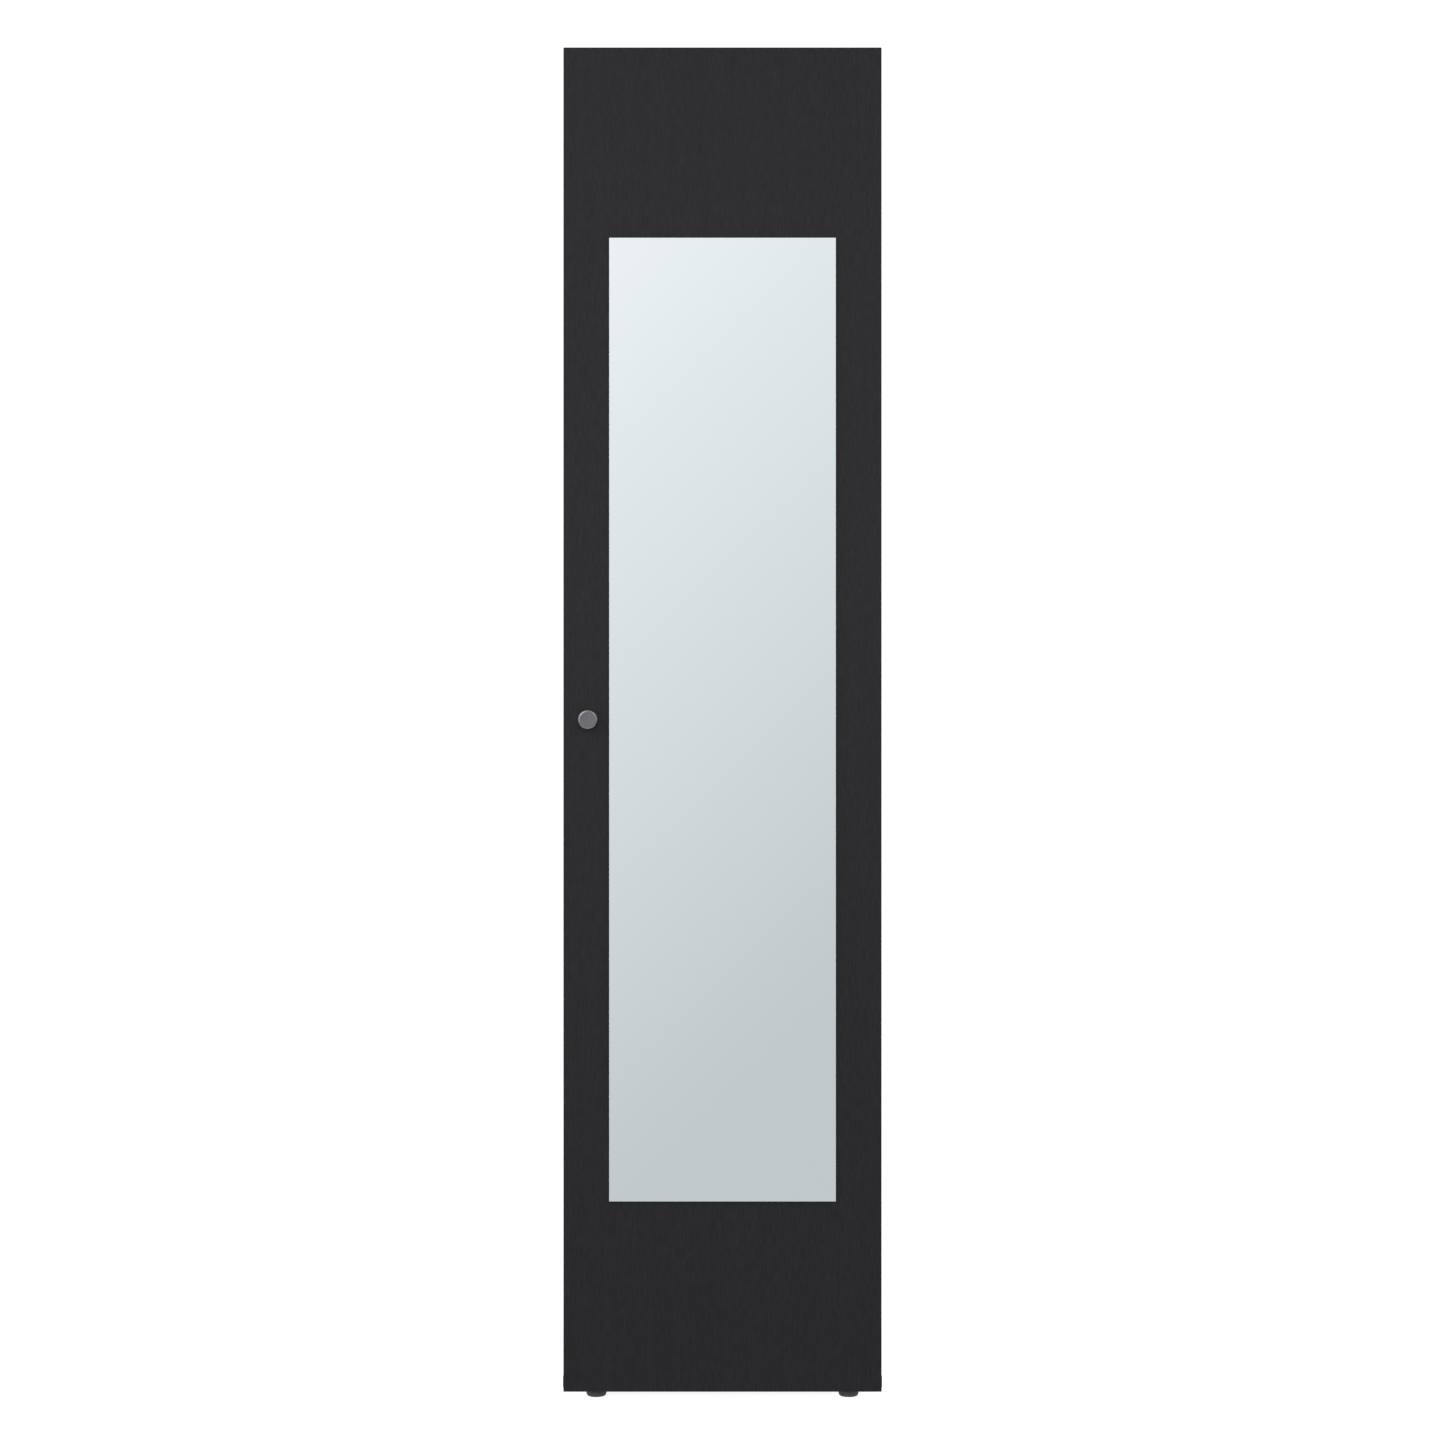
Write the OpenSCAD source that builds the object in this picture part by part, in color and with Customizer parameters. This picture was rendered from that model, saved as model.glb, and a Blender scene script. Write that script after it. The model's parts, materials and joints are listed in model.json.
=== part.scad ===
// Tall single-door wardrobe with a mirror bonded to its door.
// Millimetres, +Z up, -Y is the front. The origin is on the floor, at the centre of the whole object.

/* [Carcass] */
// Width over the bottom panel, the widest board
body_w = 500; // [440:5:600]
// Depth of the carcass, back panel included
body_d = 560; // [500:5:620]
// Thickness of every chipboard panel
board_t = 18; // [16:1:19]
// Thickness of the nailed back panel
back_t = 3; // [2.5:0.5:5]
// How far the bottom panel stands out past each side panel
base_overhang = 2; // [0:0.5:4]
// Height of the hat shelf's underside above the floor
hat_shelf_z = 1800; // [1600:10:1850]
// Height of the lower shelf's underside above the floor
lower_shelf_z = 343; // [311:32:375]
// How far the shelves stand back from the front of the carcass
shelf_setback = 12; // [5:1:25]

/* [Door] */
// Height of the door
door_h = 2095; // [2000:5:2200]
// Air gap between the door and the carcass
door_gap = 3; // [3:0.5:4]
// How far the door hangs below the underside of the bottom panel
door_drop = 1; // [0:0.5:2]
// Radius on the long edges of the door
door_edge_r = 1; // [1:0.25:2]
// Width of the mirror
mirror_w = 353; // [250:1:380]
// Height of the mirror
mirror_h = 1500; // [1000:10:1600]
// Thickness of the mirror glass
mirror_t = 4; // [3:1:5]
// Thickness of the foam tape that holds the mirror
tape_t = 1; // [0.8:0.1:1.5]

/* [Knob] */
// Diameter of the knob's head
knob_d = 30; // [24:1:34]
// How far the knob reaches out from the door
knob_reach = 24; // [22:1:30]
// Distance of the knob's axis from the free edge of the door
knob_inset = 39; // [30:1:50]

/* [Feet] */
// Height of the bottom panel's underside above the floor
foot_h = 25; // [24:1:30]
// Diameter of a foot's disc
foot_d = 32; // [26:1:36]
// Distance of a foot's axis from the edges of the bottom panel
foot_inset = 50; // [40:1:80]

/* [Rail] */
// Diameter of the clothes rail
rail_d = 25; // [20:1:30]
// Distance from the hat shelf's underside down to the rail's axis
rail_drop = 50; // [45:1:70]

/* [Hidden] */
$fn = 48;

// Colours
decor = "#2f2f32";
inner_board = "#3a3a3c";
silvered = "#d2dcdf";
nickel = "#77727a";
steel = "#a9abae";
plastic = "#3e3e3e";
birch = "#c9a877";
foam = "#e8e8e6";

// Places along the depth
door_t = board_t;
total_d = body_d + door_gap + door_t + knob_reach;
back_y = total_d / 2;
rear_y = back_y - back_t;              // rear edges of the boards
front_y = back_y - body_d;             // front edges of the boards
door_back_y = front_y - door_gap;
door_front_y = door_back_y - door_t;

// Places across the width
door_w = body_w - 2 * base_overhang;
side_out_x = door_w / 2;
side_in_x = side_out_x - board_t;

// Places up the height
base_top_z = foot_h + board_t;
door_z0 = foot_h - door_drop;
top_reveal = 1;
carcass_top_z = door_z0 + door_h - top_reveal;
top_panel_z = carcass_top_z - board_t;
knob_x = -door_w / 2 + knob_inset;
knob_z = door_z0 + door_h / 2;
mirror_z0 = door_z0 + (door_h - mirror_h) / 2;

// Corner fittings: cams and dowels in the shelf ends, screws and dowels in the base
cam_ys = [front_y + 70, rear_y - 70];
dowel_ys = [front_y + 102, rear_y - 102];
cam_r = 7.5;
cam_depth = 12.5;
cam_inset = 34;
cam_bolt_r = 3.5;
cam_bolt_in_side = 11;
dowel_r = 4;
dowel_in_face = 12;
dowel_in_edge = 18;
base_screw_r = 3.5;
base_screw_head_r = 5;
base_screw_core_r = 2.5;
base_screw_reach = 32;
cammed_boards = [hat_shelf_z, top_panel_z];

// Rows of shelf pin holes
pin_pitch = 32;
pin_r = 2.5;
pin_hole_depth = 10;
pin_head_r = 3;
pin_ys = [front_y + 69, rear_y - 69];
pin_row = [for (k = [-2 : 3]) lower_shelf_z - pin_head_r + k * pin_pitch];

// Clothes rail
rail_y = (front_y + rear_y) / 2;
rail_z = hat_shelf_z - rail_drop;
rail_r = rail_d / 2;
rail_wall = 1;
rail_play = 0.5;
holder_flange_r = rail_r + 11;
holder_flange_t = 3;
holder_ring_r = rail_r + 2.5;
holder_ring_l = 14;

// Feet
foot_xs = [-body_w / 2 + foot_inset, body_w / 2 - foot_inset];
foot_ys = [front_y + foot_inset, rear_y - foot_inset];
stud_r = 5;
stud_z0 = 6;
stud_z1 = foot_h + 13;
insert_r = 7;
insert_flange_r = 10;
insert_flange_t = 1.5;

// Hinges: places are measured from the hinge edge and the back face of the door
hinge_margin = 100;
hinge_zs = [for (k = [0 : 3]) door_z0 + hinge_margin + k * (door_h - 2 * hinge_margin) / 3];
cup_r = 17.5;
cup_depth = 13;
cup_wall = 1;
cup_x = -3 - cup_r;
cup_flange_t = 1;
cup_screw_x = cup_x - 6;
cup_screw_z = 24;
pivot_x = -7.5;
pivot_y = -8.5;
pivot_pin_r = 1.5;
pivot_pin_l = 18;
eye_r = 2.6;
eye_l = 8;
plate_z = 37 + door_gap;               // plate holes stand 37 back from the front edge
plate_screw_z = 16;

// Magnetic catch
catch_z = knob_z + 150;
catch_w = 14;
catch_h = 44;
catch_l = 18;

// Wall bracket
bracket_w = 40;
bracket_t = 2;
bracket_leg = 50;
bracket_hole_r = 3;
bracket_hole_z = top_panel_z - 32;

// ---------- helpers ----------

// Box between two opposite corners
module slab(low, high) translate(low) cube(high - low);

// Cylinders along each axis, from the origin towards +
module rod_x(r, l) rotate([0, 90, 0]) cylinder(h = l, r = r);
module rod_y(r, l) rotate([-90, 0, 0]) cylinder(h = l, r = r);
module rod_z(r, l) cylinder(h = l, r = r);

// Points of an arc about [x, y], from angle a to angle b
function arc(x, y, r, a, b, n = 8) =
    [for (k = [0 : n]) [x + r * cos(a + (b - a) * k / n), y + r * sin(a + (b - a) * k / n)]];

// Flat rectangle, centred, with true round corners
module rounded_rect(w, d, r) {
    square([w - 2 * r, d], center = true);
    square([w, d - 2 * r], center = true);
    for (x = [-1, 1], y = [-1, 1])
        translate([x * (w / 2 - r), y * (d / 2 - r)]) circle(r = r);
}

// Screw lying along +Z with its head's top at z = 0 and a cross recess in it
module screw(shank_r, shank_l, head_r, head_t) {
    recess = head_r * 0.55;
    difference() {
        union() {
            translate([0, 0, -head_t]) rod_z(head_r, head_t);
            translate([0, 0, -head_t - shank_l]) rod_z(shank_r, shank_l);
        }
        for (a = [0, 90])
            rotate([0, 0, a])
                translate([-recess, -head_r * 0.12, -head_t * 0.6]) cube([2 * recess, head_r * 0.24, head_t]);
    }
}

// Puts its children at each hinge, with x = 0 on the hinge edge and y = 0 on the back face of the door
module at_hinge(z) translate([door_w / 2, door_back_y, z]) children();

// ---------- carcass ----------

module bottom_panel() {
    color(decor) difference() {
        slab([-body_w / 2, front_y, foot_h], [body_w / 2, rear_y, base_top_z]);
        for (x = foot_xs, y = foot_ys)
            translate([x, y, foot_h - 1]) rod_z(insert_r, board_t + 2);
        for (s = [-1, 1]) {
            for (y = cam_ys) base_screw_bore(s, y);
            for (y = dowel_ys)
                translate([s * (side_in_x + board_t / 2), y, base_top_z - dowel_in_face])
                    rod_z(dowel_r, dowel_in_face + 1);
        }
    }
}

// Countersunk hole through the bottom panel, on side s, at depth y
module base_screw_bore(s, y) {
    translate([s * (side_in_x + board_t / 2), y, foot_h]) {
        translate([0, 0, -1]) rod_z(base_screw_r, board_t + 2);
        cylinder(h = base_screw_head_r - base_screw_r, r1 = base_screw_head_r, r2 = base_screw_r);
    }
}

// Screws that come up through the bottom panel into the side panels
module base_screws() {
    color(steel)
        for (s = [-1, 1], y = cam_ys)
            translate([s * (side_in_x + board_t / 2), y, foot_h]) difference() {
                union() {
                    cylinder(h = base_screw_head_r - base_screw_r, r1 = base_screw_head_r, r2 = base_screw_r);
                    rod_z(base_screw_r, board_t);
                    translate([0, 0, board_t]) rod_z(base_screw_core_r, base_screw_reach);
                }
                translate([0, 0, -1]) cylinder(h = 3.5, r = 2, $fn = 6);
            }
}

module side_panel(s) {
    in_x = s * side_in_x;
    mid_x = s * (side_in_x + board_t / 2);
    color(decor) difference() {
        slab([min(in_x, s * side_out_x), front_y, base_top_z],
             [max(in_x, s * side_out_x), rear_y, carcass_top_z]);
        // bores for the fittings of the hat shelf and the top panel
        for (z = cammed_boards) {
            for (y = cam_ys) face_bore(s, y, z + board_t / 2, cam_bolt_r, cam_bolt_in_side);
            for (y = dowel_ys) face_bore(s, y, z + board_t / 2, dowel_r, dowel_in_face);
        }
        // rows of shelf pin holes
        for (z = pin_row, y = pin_ys) face_bore(s, y, z, pin_r, pin_hole_depth);
        // bores in the lower end for the base fittings
        for (y = cam_ys) translate([mid_x, y, base_top_z - 1]) rod_z(base_screw_core_r, base_screw_reach + 1);
        for (y = dowel_ys) translate([mid_x, y, base_top_z - 1]) rod_z(dowel_r, dowel_in_edge + 1);
    }
}

// Blind hole in the inner face of side s, with its mouth at depth y and height z
module face_bore(s, y, z, r, l) {
    translate([s > 0 ? side_in_x - 1 : -side_in_x - l, y, z]) rod_x(r, l + 1);
}

// Board between the two sides, held by cams and dowels at both ends
module cammed_board(z, y0) {
    color(decor) difference() {
        slab([-side_in_x, y0, z], [side_in_x, rear_y, z + board_t]);
        for (s = [-1, 1]) {
            for (y = cam_ys) {
                translate([s * (side_in_x - cam_inset), y, z - 1]) rod_z(cam_r, cam_depth + 1);
                translate([s > 0 ? side_in_x - cam_inset : -side_in_x - 1, y, z + board_t / 2])
                    rod_x(cam_bolt_r, cam_inset + 1);
            }
            for (y = dowel_ys)
                translate([s > 0 ? side_in_x - dowel_in_edge : -side_in_x - 1, y, z + board_t / 2])
                    rod_x(dowel_r, dowel_in_edge + 1);
        }
    }
}

module top_panel() cammed_board(top_panel_z, front_y);

module hat_shelf() cammed_board(hat_shelf_z, front_y + shelf_setback);

// Round cams that pull the boards onto the sides, with a cross slot to turn them by
module cam_housings() {
    slot_l = 2 * cam_r - 4;
    slot_w = 1.6;
    slot_depth = 2;
    color(steel)
        for (z = cammed_boards, s = [-1, 1], y = cam_ys)
            translate([s * (side_in_x - cam_inset), y, z]) difference() {
                rod_z(cam_r, cam_depth);
                for (a = [45, 135])
                    rotate([0, 0, a]) cube([slot_l, slot_w, 2 * slot_depth], center = true);
            }
}

// Bolts that stand in the sides and end at the rim of each cam
module cam_bolts() {
    bolt_l = cam_bolt_in_side + cam_inset - cam_r;
    bolt_x = side_in_x + cam_bolt_in_side;
    color(steel)
        for (z = cammed_boards, s = [-1, 1], y = cam_ys)
            translate([s > 0 ? bolt_x - bolt_l : -bolt_x, y, z + board_t / 2]) rod_x(cam_bolt_r, bolt_l);
}

module wood_dowels() {
    dowel_l = dowel_in_face + dowel_in_edge;
    color(birch) {
        for (z = cammed_boards, s = [-1, 1], y = dowel_ys)
            translate([s > 0 ? side_in_x - dowel_in_edge : -side_in_x - dowel_in_face, y, z + board_t / 2])
                rod_x(dowel_r, dowel_l);
        for (s = [-1, 1], y = dowel_ys)
            translate([s * (side_in_x + board_t / 2), y, base_top_z - dowel_in_face]) rod_z(dowel_r, dowel_l);
    }
}

// Places of the nails: [x, z] around the rim of the back panel, and along the hat shelf
nail_edge_x = side_in_x + board_t / 2;
nail_rows = 8;
nail_zs = [for (k = [0 : nail_rows]) foot_h + 60 + k * (carcass_top_z - foot_h - 120) / nail_rows];
nail_places = concat(
    [for (s = [-1, 1], z = nail_zs) [s * nail_edge_x, z]],
    [for (x = [-1 : 1], z = [foot_h + board_t / 2, hat_shelf_z + board_t / 2, carcass_top_z - board_t / 2])
        [x * body_w / 4, z]]);
nail_head_r = 1.8;
nail_head_t = 0.6;
nail_shank_r = 0.7;
nail_shank_l = 17;
back_inset = 2;

module back_panel() {
    color(inner_board) difference() {
        slab([-side_out_x + back_inset, rear_y, foot_h + back_inset],
             [side_out_x - back_inset, back_y, carcass_top_z - back_inset]);
        for (p = nail_places)
            translate([p[0], rear_y - 1, p[1]]) {
                rod_y(nail_shank_r, back_t + 2);
                translate([0, 1 + back_t - nail_head_t, 0]) rod_y(nail_head_r, nail_head_t + 1);
            }
        translate([0, rear_y - 1, bracket_hole_z]) rod_y(bracket_hole_r + 1, back_t + 2);
    }
}

module back_panel_nails() {
    color(steel)
        for (p = nail_places)
            translate([p[0], back_y, p[1]]) rotate([90, 0, 0]) {
                rod_z(nail_head_r, nail_head_t);
                rod_z(nail_shank_r, nail_shank_l);
            }
}

// ---------- interior ----------

module lower_shelf() {
    play = 0.5;
    color(decor)
        slab([-side_in_x + play, front_y + shelf_setback, lower_shelf_z],
             [side_in_x - play, rear_y - play, lower_shelf_z + board_t]);
}

// Pins that carry the lower shelf: a shank in the side, a collar and a head under the shelf
module shelf_pins() {
    collar_r = 4;
    collar_t = 1.2;
    collar_play = 0.2;
    head_l = 9;
    shank_l = pin_hole_depth - 1;
    color(steel)
        for (s = [-1, 1], y = pin_ys)
            translate([s * side_in_x, y, lower_shelf_z - pin_head_r]) rotate([0, 0, s > 0 ? 180 : 0]) {
                translate([-shank_l, 0, 0]) rod_x(pin_r, shank_l + 1);
                difference() {
                    rod_x(collar_r, collar_t);
                    translate([-1, -collar_r, pin_head_r - collar_play])
                        cube([collar_t + 2, 2 * collar_r, collar_r]);
                }
                rod_x(pin_head_r, head_l);
            }
}

// Hollow round bar between the two holders
module clothes_rail() {
    half = side_in_x - holder_flange_t - rail_play;
    color(steel) translate([-half, rail_y, rail_z]) difference() {
        rod_x(rail_r, 2 * half);
        translate([-1, 0, 0]) rod_x(rail_r - rail_wall, 2 * half + 2);
    }
}

// Round flange with a socket for the rail's end
module rail_holder(s) {
    screw_hole_r = 2.2;
    color(steel) translate([s * side_in_x, rail_y, rail_z]) rotate([0, 0, s > 0 ? 180 : 0]) difference() {
        union() {
            rod_x(holder_flange_r, holder_flange_t);
            rod_x(holder_ring_r, holder_ring_l);
        }
        translate([holder_flange_t, 0, 0]) rod_x(rail_r + 0.1, holder_ring_l);
        for (a = holder_screw_angles)
            holder_screw_place(a) translate([-1, 0, 0]) rod_x(screw_hole_r, holder_flange_t + 2);
    }
}

holder_screw_angles = [90, 210, 330];
module holder_screw_place(a) rotate([a, 0, 0]) translate([0, holder_ring_r + 4, 0]) children();

module rail_holder_screws() {
    head_t = 1.8;
    color(steel)
        for (s = [-1, 1])
            translate([s * side_in_x, rail_y, rail_z]) rotate([0, 0, s > 0 ? 180 : 0])
                for (a = holder_screw_angles)
                    holder_screw_place(a) translate([holder_flange_t + head_t, 0, 0])
                        rotate([0, 90, 0]) screw(2, 14, 3.6, head_t);
}

// ---------- door ----------

module door_panel() {
    screw_hole_r = 2.25;
    color(decor) difference() {
        translate([0, (door_back_y + door_front_y) / 2, door_z0])
            linear_extrude(door_h) rounded_rect(door_w, door_t, door_edge_r);
        for (z = hinge_zs) at_hinge(z) translate([cup_x, -cup_depth, 0]) rod_y(cup_r, cup_depth + 1);
        translate([knob_x, door_front_y - 1, knob_z]) rod_y(screw_hole_r, door_t + 2);
    }
}

module mirror_glass() {
    y = door_front_y - tape_t - mirror_t / 2;
    corner_r = 0.8;
    color(silvered)
        translate([0, y, mirror_z0 + mirror_h / 2]) rotate([90, 0, 0])
            linear_extrude(mirror_t, center = true) rounded_rect(mirror_w, mirror_h, corner_r);
}

// Strips of foam tape down the back of the mirror
module mirror_tape() {
    strip_w = 19;
    strips = 5;
    edge = 12;
    pitch = (mirror_w - 2 * edge - strip_w) / (strips - 1);
    color(foam)
        for (k = [0 : strips - 1])
            translate([-mirror_w / 2 + edge + k * pitch, door_front_y - tape_t, mirror_z0 + edge])
                cube([strip_w, tape_t, mirror_h - 2 * edge]);
}

// Turned knob: a seat on the door, a slim neck and a flat head with a rounded rim
module knob() {
    head_r = knob_d / 2;
    rim_r = 3.5;
    seat_r = 8.5;
    neck_r = 5.5;
    bore_r = 2;
    bore_l = 13;
    profile = concat(
        [[0, 0], [seat_r, 0], [seat_r, 1.5]],
        arc(neck_r + 4, 5.5, 4, 270, 180),
        [[neck_r, knob_reach - 12]],
        [[head_r - 1.5, knob_reach - 8]],
        arc(head_r - 1, knob_reach - 7, 1, -60, 0, 4),
        arc(head_r - rim_r, knob_reach - rim_r, rim_r, 0, 90),
        [[0, knob_reach]]);
    color(nickel) translate([knob_x, door_front_y, knob_z]) rotate([90, 0, 0]) difference() {
        rotate_extrude($fn = 96) polygon(profile);
        translate([0, 0, -1]) rod_z(bore_r, bore_l + 1);
    }
}

// Screw from the back of the door into the knob
module knob_screw() {
    head_t = 2.2;
    color(steel) translate([knob_x, door_back_y + head_t, knob_z])
        rotate([-90, 0, 0]) screw(2, door_t + 12, 4, head_t);
}

// ---------- hinges ----------

// Cup in the door: a round pot with a flange, and two cheeks that carry the pivot pin
module hinge_cup(z) {
    cheek_gap = eye_l / 2 + 0.4;
    cheek_z1 = pivot_pin_l / 2 + 1;
    cheek_x0 = pivot_x - 3.5;
    cheek_y1 = pivot_y + 2.9;
    color(steel) at_hinge(z) difference() {
        union() {
            difference() {
                translate([cup_x, -cup_depth, 0]) rod_y(cup_r, cup_depth);
                translate([cup_x, -cup_depth + cup_wall, 0]) rod_y(cup_r - cup_wall, cup_depth);
            }
            cup_flange();
            // cheeks, cut to the inside of the pot
            intersection() {
                translate([cup_x, -cup_depth, 0]) rod_y(cup_r - cup_wall / 2, cup_depth);
                for (s = [-1, 1])
                    translate([cheek_x0, -cup_depth + cup_wall / 2, s > 0 ? cheek_gap : -cheek_z1])
                        cube([cup_r, cheek_y1 + cup_depth - cup_wall / 2, cheek_z1 - cheek_gap]);
            }
        }
        translate([pivot_x, pivot_y, -pivot_pin_l / 2]) rod_z(pivot_pin_r, pivot_pin_l);
    }
}

// Flange on the back face of the door, with an ear for each screw and clear of the door's edge
module cup_flange() {
    flange_r = cup_r + 2;
    ear_r = 5.5;
    ear_x = cup_screw_x;
    edge_x = -3;
    hole_r = 2;
    rotate([-90, 0, 0]) difference() {
        linear_extrude(cup_flange_t) difference() {
            union() {
                translate([cup_x, 0]) circle(r = flange_r);
                for (s = [-1, 1]) {
                    translate([ear_x, s * cup_screw_z]) circle(r = ear_r);
                    translate([ear_x - ear_r, s > 0 ? 0 : -cup_screw_z]) square([2 * ear_r, cup_screw_z]);
                }
            }
            translate([edge_x, -flange_r - 1]) square([flange_r, 2 * flange_r + 2]);
            translate([cup_x, 0]) circle(r = cup_r - cup_wall);
            for (s = [-1, 1]) translate([ear_x, s * cup_screw_z]) circle(r = hole_r);
        }
    }
}

module hinge_pins() {
    color(steel)
        for (z = hinge_zs)
            at_hinge(z) translate([pivot_x, pivot_y, -pivot_pin_l / 2]) rod_z(pivot_pin_r, pivot_pin_l);
}

module hinge_cup_screws() {
    head_t = 1.6;
    color(steel)
        for (z = hinge_zs, s = [-1, 1])
            at_hinge(z) translate([cup_screw_x, cup_flange_t + head_t, s * cup_screw_z])
                rotate([-90, 0, 0]) screw(1.9, 12, 3.6, head_t);
}

arm_web_x = -28.5;                     // outer face of the arm's web
arm_web_t = 1.5;
arm_y0 = 8;
arm_y1 = 62;
arm_half_h = 10;

// Gooseneck arm: an eye on the pin, a neck that turns round the panel's edge, and a channel over the plate
module hinge_arm(z) {
    running = 0.05;
    neck_t = 3;
    neck_x = -25;
    bend_r = 3;
    skirt_x = -21;
    wall = 1.4;
    nose_l = 6;
    color(steel) at_hinge(z) difference() {
        union() {
            translate([pivot_x, pivot_y, -eye_l / 2]) rod_z(eye_r, eye_l);
            slab([neck_x + bend_r, pivot_y - neck_t / 2, -eye_l / 2],
                 [pivot_x, pivot_y + neck_t / 2, eye_l / 2]);
            translate([neck_x + bend_r, pivot_y - neck_t / 2 + bend_r, -eye_l / 2]) rod_z(bend_r, eye_l);
            slab([neck_x, pivot_y - neck_t / 2 + bend_r, -eye_l / 2],
                 [neck_x + neck_t, arm_y0 + 1, eye_l / 2]);
            difference() {
                slab([arm_web_x, arm_y0, -arm_half_h], [skirt_x, arm_y1, arm_half_h]);
                slab([arm_web_x + arm_web_t, arm_y0 + nose_l, -arm_half_h + wall],
                     [skirt_x + 1, arm_y1 + 1, arm_half_h - wall]);
            }
        }
        translate([pivot_x, pivot_y, -eye_l]) rod_z(pivot_pin_r + running, 2 * eye_l);
        for (y = arm_screw_ys) translate([arm_web_x - 1, y, 0]) rod_x(2.2, arm_web_t + 2);
    }
}

arm_screw_ys = [22, 52];

// Mounting plate on the side panel, with a wing for each of its screws
module hinge_plate(z) {
    base_x = -board_t;
    wing_t = 2.5;
    wing_half_l = 7;
    wing_half_h = 23;
    core_half_h = 8;
    color(steel) at_hinge(z) difference() {
        union() {
            slab([arm_web_x + arm_web_t, 16, -core_half_h], [base_x, 60, core_half_h]);
            slab([base_x - wing_t, plate_z - wing_half_l, -wing_half_h + wing_half_l],
                 [base_x, plate_z + wing_half_l, wing_half_h - wing_half_l]);
            for (s = [-1, 1])
                translate([base_x - wing_t, plate_z, s * (wing_half_h - wing_half_l)]) rod_x(wing_half_l, wing_t);
        }
        for (y = arm_screw_ys) translate([arm_web_x, y, 0]) rod_x(2, 8);
        for (s = [-1, 1]) translate([base_x - wing_t - 1, plate_z, s * plate_screw_z]) rod_x(2.6, wing_t + 2);
    }
}

module hinge_plate_screws() {
    head_t = 1.8;
    color(steel)
        for (z = hinge_zs, s = [-1, 1])
            at_hinge(z) translate([-board_t - 2.5 - head_t, plate_z, s * plate_screw_z])
                rotate([0, -90, 0]) screw(2.5, 13, 4, head_t);
}

module hinge_arm_screws() {
    head_t = 1.8;
    color(steel)
        for (z = hinge_zs, y = arm_screw_ys)
            at_hinge(z) translate([arm_web_x - head_t, y, 0]) rotate([0, -90, 0]) screw(2, 7, 3.6, head_t);
}

// ---------- closing the door ----------

// Soft dots on the front edge of the left side, where the door lands
module door_bumpers() {
    play = 0.3;
    for (z = [door_z0 + 60, knob_z - 120, door_z0 + door_h - 60])
        color(foam) translate([-side_in_x - board_t / 2, front_y - door_gap + play, z]) rod_y(4, door_gap - play);
}

catch_front_y = front_y + 1;

// Box of the magnetic catch on the left side panel
module catch_housing() {
    wall = 2;
    color(plastic) translate([-side_in_x, catch_front_y, catch_z]) difference() {
        slab([0, 0, -catch_h / 2], [catch_w, catch_l, catch_h / 2]);
        slab([wall, -1, -catch_h / 2 + 12], [catch_w - wall, catch_l - wall, catch_h / 2 - 12]);
        for (s = [-1, 1]) translate([-1, catch_l / 2, s * 16]) rod_x(2.2, catch_w + 2);
    }
}

// Magnet between two steel pole plates, which stand a little out of the box
module catch_magnet() {
    wall = 2;
    pole_t = 1.5;
    reach = 2;
    half_h = catch_h / 2 - 12;
    color(steel) translate([-side_in_x + wall, catch_front_y, catch_z]) {
        for (x = [0, catch_w - 2 * wall - pole_t])
            translate([x, -reach, -half_h]) cube([pole_t, catch_l - wall + reach, 2 * half_h]);
        slab([pole_t, 0, -half_h], [catch_w - 2 * wall - pole_t, catch_l - wall, half_h]);
    }
}

module catch_screws() {
    head_t = 1.8;
    color(steel)
        for (s = [-1, 1])
            translate([-side_in_x + catch_w + head_t, catch_front_y + catch_l / 2, catch_z + s * 16])
                rotate([0, 90, 0]) screw(2, catch_w + 10, 3.6, head_t);
}

catch_plate_t = 1.2;

// Steel plate on the back of the door, where the magnet bites
module catch_plate() {
    plate_h = 34;
    color(steel) translate([-side_in_x, door_back_y, catch_z]) difference() {
        slab([1, 0, -plate_h / 2], [catch_w - 1, catch_plate_t, plate_h / 2]);
        translate([catch_w / 2, -1, 0]) rod_y(2.2, catch_plate_t + 2);
    }
}

module catch_plate_screw() {
    head_t = 0.9;
    color(steel) translate([-side_in_x + catch_w / 2, door_back_y + catch_plate_t + head_t, catch_z])
        rotate([-90, 0, 0]) screw(1.9, 12, 3, head_t);
}

// ---------- wall bracket ----------

// Angle under the top panel and against the back, for the screw that ties the wardrobe to a wall
module wall_bracket() {
    color(steel) difference() {
        union() {
            slab([-bracket_w / 2, rear_y - bracket_leg, top_panel_z - bracket_t], [bracket_w / 2, rear_y, top_panel_z]);
            slab([-bracket_w / 2, rear_y - bracket_t, top_panel_z - bracket_leg], [bracket_w / 2, rear_y, top_panel_z]);
        }
        translate([0, rear_y - bracket_t - 1, bracket_hole_z]) rod_y(bracket_hole_r, bracket_t + 2);
        for (s = [-1, 1]) bracket_screw_place(s) translate([0, 0, -1]) rod_z(2.2, bracket_t + 2);
    }
}

module bracket_screw_place(s)
    translate([s * bracket_w / 4, rear_y - bracket_leg * 0.6, top_panel_z - bracket_t]) children();

module wall_bracket_screws() {
    head_t = 1.8;
    color(steel)
        for (s = [-1, 1])
            bracket_screw_place(s) translate([0, 0, -head_t]) rotate([180, 0, 0]) screw(2, 14, 3.6, head_t);
}

// ---------- feet ----------

// Threaded sleeves in the bottom panel
module foot_inserts() {
    running = 0.05;
    sleeve_l = stud_z1 - foot_h;
    color(steel)
        for (x = foot_xs, y = foot_ys)
            translate([x, y, foot_h]) difference() {
                union() {
                    rod_z(insert_r, sleeve_l);
                    translate([0, 0, -insert_flange_t]) rod_z(insert_flange_r, insert_flange_t);
                }
                translate([0, 0, -insert_flange_t - 1]) rod_z(stud_r + running, sleeve_l + insert_flange_t + 2);
            }
}

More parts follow.
